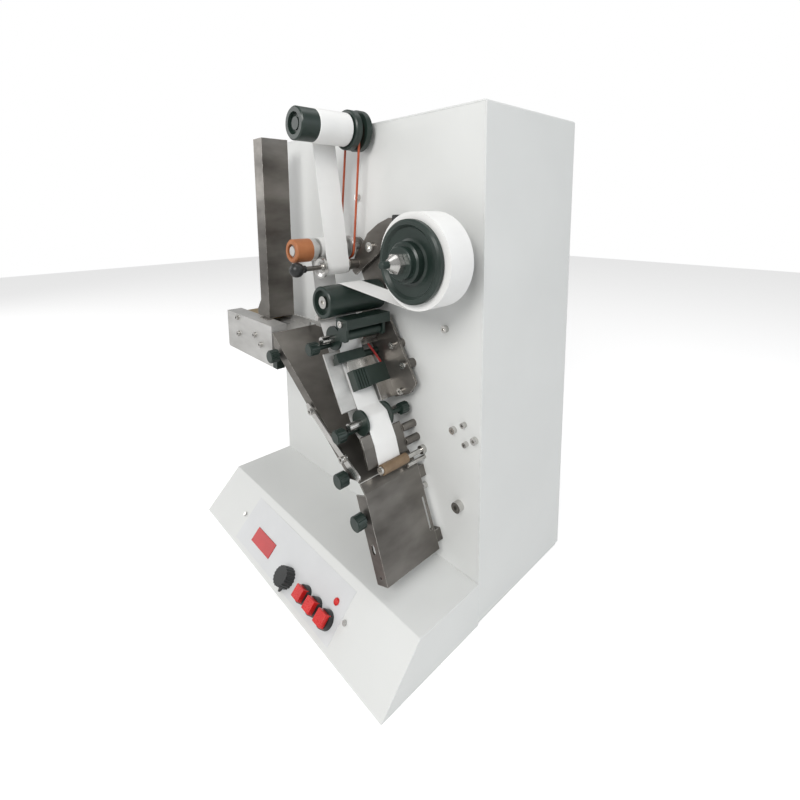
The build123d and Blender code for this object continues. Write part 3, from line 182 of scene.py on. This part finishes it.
# Black anodised and moulded parts: rollers, discs, collars, knobs and blocks. They have a
# green cast and a satin sheen, with a thin painted highlight on their rims.
black_green = surface(
    "black_green", (0.010, 0.020, 0.016), (0.018, 0.032, 0.026), rough=0.34, coarse=30.0,
    fine=700.0, bump=0.2, bump_depth=0.0002, edge=(0.10, 0.13, 0.12), edge_radius=0.0008,
    edge_amount=0.5,
)
black_plastic = surface(
    "black_plastic", (0.010, 0.011, 0.011), (0.018, 0.020, 0.020), rough=0.38, coarse=40.0,
    fine=1200.0, bump=0.3, bump_depth=0.0002, edge=(0.09, 0.09, 0.09), edge_radius=0.0006,
    edge_amount=0.5,
)
dress(black_green, "spool_disc", "spool_hub", "rewind_mandrel", "long_roller", "upper_collar",
      "lower_collar_front", "lower_collar_rear", "bridge_block", "sensor_block", "roller_block",
      "small_roller", "clamp_knobs")
dress(black_plastic, "selector_knob", "selector_switch", "button_bodies", "power_inlet",
      "nip_handle", "arm_cap")

# Raw steel sheet and plate: chutes, magazine, arm and plates. Dark mill scale and grease
# between brushed streaks, with a bright painted highlight along the edges.
raw_steel = surface(
    "raw_steel", (0.085, 0.078, 0.070), (0.26, 0.245, 0.225), rough=0.36, metallic=0.85,
    coarse=9.0, fine=90.0, stretch=(1.0, 1.0, 2.5), bump=0.2, bump_depth=0.0003,
    edge=(0.75, 0.72, 0.67), edge_radius=0.0012, edge_amount=0.9, rough_spread=0.25,
)
dress(raw_steel, "upper_chute", "lower_chute", "magazine", "swing_arm", "mount_plate",
      "peel_plate", "shaft_bearings")

# Turned and plated steel: shafts, screws, nuts and the guide rail, with a painted edge highlight.
bright_steel = surface(
    "bright_steel", (0.46, 0.45, 0.43), (0.66, 0.65, 0.63), rough=0.24, metallic=1.0,
    coarse=25.0, fine=500.0, stretch=(1.0, 6.0, 1.0), bump=0.1, bump_depth=0.0001,
    edge=(0.85, 0.85, 0.84), edge_radius=0.0006, edge_amount=0.6,
)
dress(bright_steel, "shafts_and_bars", "spool_nut", "spool_brake", "arm_pivot", "nip_roller",
      "guide_rail", "face_bolts", "sensor_bracket")

# Milled aluminium: feeder housing, backing plate and drive roller, with a painted edge highlight.
milled_aluminium = surface(
    "milled_aluminium", (0.46, 0.455, 0.44), (0.64, 0.635, 0.62), rough=0.42, metallic=0.7,
    coarse=14.0, fine=260.0, stretch=(1.0, 1.0, 3.0), bump=0.15, bump_depth=0.0002,
    edge=(0.85, 0.85, 0.84), edge_radius=0.0010, edge_amount=0.7,
)
dress(milled_aluminium, "feeder_housing", "backing_plate", "drive_roller")

# Rubber: orange-brown sleeve of the drive roller, tan press roller and red round belt.
drive_rubber = surface(
    "drive_rubber", (0.33, 0.110, 0.035), (0.42, 0.155, 0.055), rough=0.55, coarse=60.0,
    fine=900.0, bump=0.3, bump_depth=0.0003,
)
dress(drive_rubber, "drive_sleeve")
tan_rubber = surface(
    "tan_rubber", (0.16, 0.105, 0.060), (0.24, 0.165, 0.100), rough=0.60, coarse=60.0,
    fine=900.0, bump=0.4, bump_depth=0.0003,
)
dress(tan_rubber, "press_roller")
belt_red = surface(
    "belt_red", (0.36, 0.060, 0.020), (0.46, 0.095, 0.035), rough=0.40, coarse=80.0,
    fine=900.0, bump=0.1,
)
dress(belt_red, "drive_belt")

# Sensor leads: two thin red leads with a soft vinyl skin, tucked under the bent cover.
lead_vinyl = surface(
    "lead_vinyl", (0.30, 0.014, 0.012), (0.40, 0.024, 0.020), rough=0.42, coarse=90.0,
    fine=1400.0, bump=0.1, bump_depth=0.0001,
)
dress(lead_vinyl, "sensor_wires")

# Paper: the liner and the labels on it, smooth and a little translucent in tone.
paper = surface(
    "paper", (0.76, 0.76, 0.75), (0.83, 0.83, 0.82), rough=0.50, coarse=18.0, fine=1500.0,
    bump=0.1, bump_depth=0.0001,
)
dress(paper, "label_roll", "label_web", "liner_web", "rewind_paper")

# Brass pusher of the feeder, with a painted highlight along its edges.
pusher_brass = surface(
    "pusher_brass", (0.36, 0.26, 0.13), (0.50, 0.38, 0.20), rough=0.40, metallic=0.9,
    coarse=30.0, fine=300.0, bump=0.1, edge=(0.75, 0.62, 0.38),
)
dress(pusher_brass, "pusher")

# Control panel: a satin film (its black keyline is not drawn), a red window, lamp and button
# caps.
panel_film = surface(
    "panel_film", (0.62, 0.63, 0.64), (0.66, 0.67, 0.68), rough=0.45, coarse=20.0,
    fine=1200.0, bump=0.1, bump_depth=0.0001,
)
dress(panel_film, "control_panel")
# The red caps and lamp carry a pale painted highlight along their edges.
cap_red = surface(
    "cap_red", (0.52, 0.012, 0.012), (0.66, 0.024, 0.020), rough=0.28, coarse=60.0,
    fine=900.0, bump=0.1, bump_depth=0.0001, edge=(0.9, 0.25, 0.2), edge_radius=0.0008,
)
dress(cap_red, "button_left", "button_middle", "button_right", "indicator_lens")
window_red = surface(
    "window_red", (0.42, 0.006, 0.008), (0.52, 0.012, 0.014), rough=0.12, coarse=30.0,
    fine=900.0, bump=0.02, bump_depth=0.0001,
)
dress(window_red, "display_window")

# Inner parts that only show through the louvres.
board_green = surface("board_green", (0.01, 0.08, 0.035), (0.02, 0.12, 0.05), rough=0.4)
motor_grey = surface("motor_grey", (0.03, 0.03, 0.032), (0.05, 0.05, 0.052), rough=0.5)
dress(board_green, "display_module", "electronics")
dress(motor_grey, "drive_motor", "feeder_actuator")

# Floor, light and camera. A pale floor keeps the machine's shadow, and the camera stands
# close in front of the right edge of the cabinet, as in the photograph.
floor_mesh = bpy.data.meshes.new("floor")
floor_half = 4.0
floor_mesh.from_pydata(
    [(x, y, -0.0005) for x, y in ((-floor_half, -floor_half), (floor_half, -floor_half),
                                  (floor_half, floor_half), (-floor_half, floor_half))],
    [], [(0, 1, 2, 3)],
)
floor = bpy.data.objects.new("floor", floor_mesh)
bpy.context.scene.collection.objects.link(floor)
floor_paint = bpy.data.materials.new("floor_paint")
floor_paint.use_nodes = True
floor_nodes, floor_links = floor_paint.node_tree.nodes, floor_paint.node_tree.links
floor_shader = floor_nodes["Principled BSDF"]
floor_shader.inputs["Base Color"].default_value = (0.80, 0.80, 0.80, 1.0)
floor_shader.inputs["Roughness"].default_value = 0.8
floor_shader.inputs["Specular IOR Level"].default_value = 0.1
floor_path = floor_nodes.new("ShaderNodeLightPath")
floor_lift = floor_nodes.new("ShaderNodeMath")
floor_lift.operation = "MULTIPLY"
floor_lift.inputs[1].default_value = 0.42
floor_links.new(floor_path.outputs["Is Camera Ray"], floor_lift.inputs[0])
floor_shader.inputs["Emission Color"].default_value = (1.0, 1.0, 1.0, 1.0)
floor_links.new(floor_lift.outputs["Value"], floor_shader.inputs["Emission Strength"])
floor_mesh.materials.append(floor_paint)

world = bpy.data.worlds.new("studio")
bpy.context.scene.world = world
world.use_nodes = True
world_nodes, world_links = world.node_tree.nodes, world.node_tree.links
background = world_nodes["Background"]
background.inputs["Color"].default_value = (1.0, 1.0, 1.0, 1.0)
path = world_nodes.new("ShaderNodeLightPath")
seen = world_nodes.new("ShaderNodeMath")
seen.operation = "MAXIMUM"
world_links.new(path.outputs["Is Camera Ray"], seen.inputs[0])
world_links.new(path.outputs["Is Transmission Ray"], seen.inputs[1])
level = world_nodes.new("ShaderNodeMapRange")
level.inputs["To Min"].default_value = 0.42
level.inputs["To Max"].default_value = 1.0
world_links.new(seen.outputs["Value"], level.inputs["Value"])
world_links.new(level.outputs["Result"], background.inputs["Strength"])


def softbox(name, place, target, size, power, tint=(1.0, 1.0, 1.0)):
    """A square area lamp at place that faces target."""
    light = bpy.data.lights.new(name, "AREA")
    light.shape = "SQUARE"
    light.size = size
    light.energy = power
    light.color = tint
    lamp = bpy.data.objects.new(name, light)
    lamp.location = place
    lamp.rotation_euler = (Vector(target) - Vector(place)).to_track_quat("-Z", "Y").to_euler()
    bpy.context.scene.collection.objects.link(lamp)


centre = (0.0, 0.0, 0.32)
softbox("key", (0.95, -1.75, 1.55), centre, 0.9, 30.0, (1.0, 0.99, 0.97))
softbox("fill_left", (-1.9, -1.3, 1.1), centre, 1.4, 12.0)
softbox("side", (2.2, 0.5, 1.0), centre, 1.4, 11.0, (0.90, 0.95, 1.0))
softbox("top", (0.1, 0.2, 2.3), centre, 1.6, 12.0)

picture_side = 800.0
horizon_row = 270.0
focal_pixels = 452.4
camera_data = bpy.data.cameras.new("camera")
camera_data.sensor_fit = "HORIZONTAL"
camera_data.sensor_width = 36.0
camera_data.lens = 36.0 * focal_pixels / picture_side
camera_data.shift_y = (horizon_row - picture_side / 2) / picture_side
camera_data.clip_start = 0.02
camera = bpy.data.objects.new("camera", camera_data)
bpy.context.scene.collection.objects.link(camera)
bpy.context.scene.camera = camera
yaw, pitch, roll = radians(46.85), radians(7.75), radians(-0.47)
camera.matrix_world = (
    Matrix.Translation((0.5026, -0.3895, 0.4905))
    @ Matrix.Rotation(yaw, 4, "Z")
    @ Matrix.Rotation(pi / 2 - pitch, 4, "X")
    @ Matrix.Rotation(roll, 4, "Z")
)
bpy.context.scene.view_settings.view_transform = "Standard"
